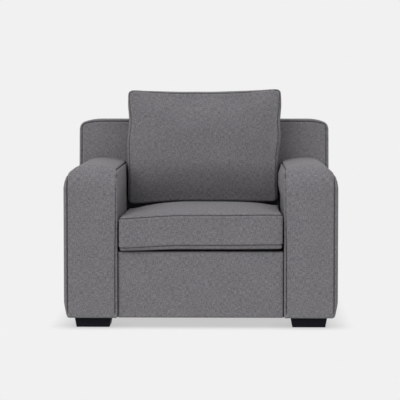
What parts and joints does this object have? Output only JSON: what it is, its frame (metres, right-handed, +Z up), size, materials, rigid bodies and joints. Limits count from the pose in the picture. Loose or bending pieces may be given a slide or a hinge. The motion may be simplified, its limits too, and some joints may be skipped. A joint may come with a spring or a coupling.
{
  "type": "upholstered armchair",
  "caption": "Block-armed upholstered armchair with a loose boxed seat cushion, a loose back cushion and low tapered block feet.",
  "frame": {"origin": "on the floor, under the middle of the chair's width and depth", "axes": "+Z up; the front faces -Y; +X is on the right as seen from the front"},
  "size_m": [1.04, 0.932, 0.9022],
  "materials": {
    "woven_cloth": "heathered grey weave",
    "deck_cloth": "plain dark grey lining",
    "dust_cloth": "thin black non-woven",
    "elastic": "elastic webbing",
    "foam": "open-cell foam",
    "fibre": "fibre filling",
    "felt": "mottled felt",
    "zip_tape": "woven tape with a plastic chain",
    "timber": "sawn",
    "plywood": "sanded ply",
    "hardboard": "smooth hardboard",
    "black_wood": "satin near-black stain",
    "steel_wire": "drawn wire",
    "zinc_steel": "zinc plated",
    "zip_metal": "satin black"
  },
  "bodies": {
    "chair_frame": {"base_front_rail": "timber", "base_rear_rail": "timber", "base_left_rail": "timber", "base_right_rail": "timber", "base_cross_rail": "timber", "corner_blocks": "timber", "seat_springs": "steel_wire", "spring_clips": "zinc_steel", "spring_tie_wires": "steel_wire", "deck_felt": "felt", "deck_cloth": "deck_cloth", "front_rail_foam": "foam", "front_rail_cover": "woven_cloth", "left_arm_front_board": "plywood", "left_arm_rear_board": "plywood", "left_arm_top_rail": "timber", "left_arm_inner_rail": "timber", "left_arm_outer_rail": "timber", "left_arm_inner_panel": "hardboard", "left_arm_outer_panel": "hardboard", "left_arm_foam": "foam", "left_arm_cover": "woven_cloth", "right_arm_front_board": "plywood", "right_arm_rear_board": "plywood", "right_arm_top_rail": "timber", "right_arm_inner_rail": "timber", "right_arm_outer_rail": "timber", "right_arm_inner_panel": "hardboard", "right_arm_outer_panel": "hardboard", "right_arm_foam": "foam", "right_arm_cover": "woven_cloth", "back_left_board": "plywood", "back_right_board": "plywood", "back_top_rail": "timber", "back_middle_rail": "timber", "back_low_rail": "timber", "back_rear_rail": "timber", "back_straps": "elastic", "back_foam": "foam", "back_cover": "woven_cloth", "outside_back_panel": "woven_cloth", "dust_cover": "dust_cloth", "foot_blocks": "plywood", "frame_bolts": "zinc_steel", "foot_bolts": "zinc_steel", "tee_nuts": "zinc_steel", "front_left_foot": "black_wood", "front_right_foot": "black_wood", "rear_left_foot": "black_wood", "rear_right_foot": "black_wood"},
    "seat_cushion": {"seat_cushion_cover": "woven_cloth", "seat_cushion_foam": "foam", "seat_cushion_welts": "woven_cloth", "seat_cushion_zip": "zip_tape"},
    "back_cushion": {"back_cushion_cover": "woven_cloth", "back_cushion_filling": "fibre", "back_cushion_welts": "woven_cloth", "back_cushion_zip": "zip_tape"},
    "seat_slider": {"seat_zip_slider": "zip_metal"},
    "back_slider": {"back_zip_slider": "zip_metal"}
  },
  "joints": [
    {"name": "seat_cushion_slide", "type": "slide", "parent": "chair_frame", "child": "seat_cushion", "axis": [0, -1, 0], "range_m": [0, 0.73]},
    {"name": "back_cushion_lift", "type": "slide", "parent": "chair_frame", "child": "back_cushion", "axis": [0, 0, 1], "range_m": [0, 0.36]},
    {"name": "seat_zip_slide", "type": "slide", "parent": "seat_cushion", "child": "seat_slider", "axis": [1, 0, 0], "range_m": [0, 0.49]},
    {"name": "back_zip_slide", "type": "slide", "parent": "back_cushion", "child": "back_slider", "axis": [1, 0, 0], "range_m": [0, 0.49]}
  ]
}
